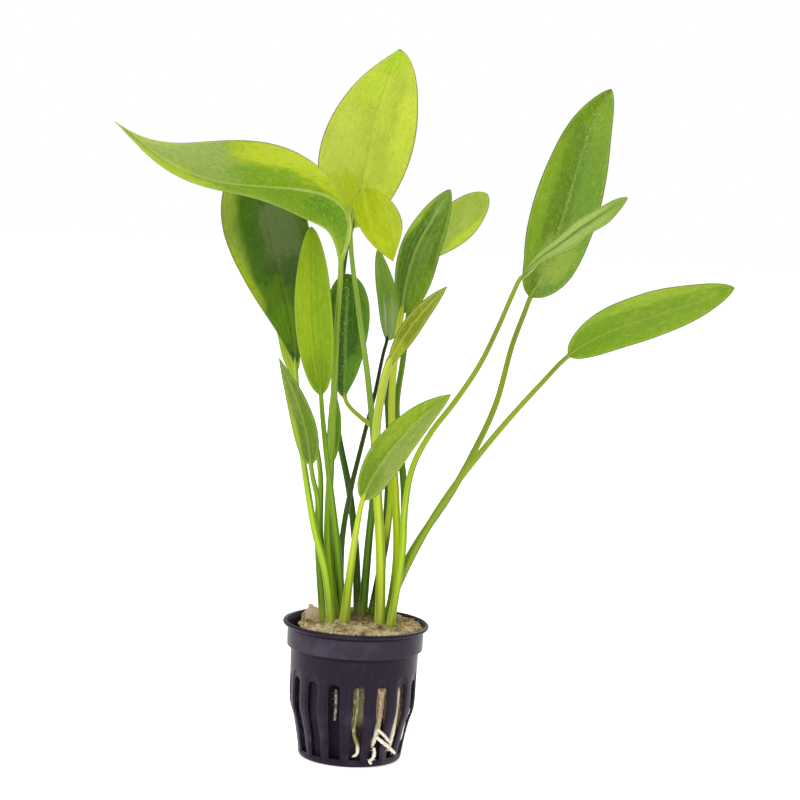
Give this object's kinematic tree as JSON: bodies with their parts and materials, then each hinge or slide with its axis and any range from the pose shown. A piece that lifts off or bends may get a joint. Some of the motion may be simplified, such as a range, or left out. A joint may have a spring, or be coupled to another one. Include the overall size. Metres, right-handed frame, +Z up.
{
  "type": "potted echinodorus",
  "caption": "Amazon sword plant for an aquarium: long-stalked green leaves rising from a wool plug in a small black slotted net pot.",
  "frame": {"origin": "centre of the pot's underside, on the surface the pot stands on", "axes": "+Z up along the pot's axis, -Y towards the viewer of the picture, +X to the picture's right"},
  "size_m": [0.2232, 0.1033, 0.2666],
  "materials": {
    "pot_plastic": "satin black moulded plastic with a faint purple cast",
    "mineral_wool": "matt tan fibrous mineral wool, lumpy and stained",
    "root": "smooth moist cream root",
    "leaf_stalk": "smooth yellow-green leaf stalk, ribbed along its length",
    "leaf_blade": "semi-gloss green leaf with sunken long veins, lit through from behind"
  },
  "bodies": {
    "root": {"pot": "pot_plastic", "rockwool_plug": "mineral_wool", "root_front": "root", "root_thick": "root", "root_across_upper": "root", "root_across_lower": "root", "root_curl": "root", "root_right": "root", "root_far_right": "root", "root_left": "root", "leaf_top_stalk": "leaf_stalk", "leaf_top_blade": "leaf_blade", "leaf_arching_left_stalk": "leaf_stalk", "leaf_arching_left_blade": "leaf_blade", "leaf_nodding_stalk": "leaf_stalk", "leaf_nodding_blade": "leaf_blade", "leaf_broad_dark_stalk": "leaf_stalk", "leaf_broad_dark_blade": "leaf_blade", "leaf_small_left_stalk": "leaf_stalk", "leaf_small_left_blade": "leaf_blade", "leaf_bright_upright_stalk": "leaf_stalk", "leaf_bright_upright_blade": "leaf_blade", "leaf_dark_oval_stalk": "leaf_stalk", "leaf_dark_oval_blade": "leaf_blade", "leaf_low_left_stalk": "leaf_stalk", "leaf_low_left_blade": "leaf_blade", "leaf_front_stalk": "leaf_stalk", "leaf_front_blade": "leaf_blade", "leaf_yellow_right_stalk": "leaf_stalk", "leaf_yellow_right_blade": "leaf_blade", "leaf_narrow_dark_stalk": "leaf_stalk", "leaf_narrow_dark_blade": "leaf_blade", "leaf_right_inner_stalk": "leaf_stalk", "leaf_right_inner_blade": "leaf_blade", "leaf_right_behind_stalk": "leaf_stalk", "leaf_right_behind_blade": "leaf_blade", "leaf_tall_right_stalk": "leaf_stalk", "leaf_tall_right_blade": "leaf_blade", "leaf_edgewise_right_stalk": "leaf_stalk", "leaf_edgewise_right_blade": "leaf_blade", "leaf_far_right_stalk": "leaf_stalk", "leaf_far_right_blade": "leaf_blade", "leaf_short_middle_stalk": "leaf_stalk", "leaf_short_middle_blade": "leaf_blade", "leaf_young_spear_stalk": "leaf_stalk", "leaf_young_spear_blade": "leaf_blade"}
  },
  "joints": []
}
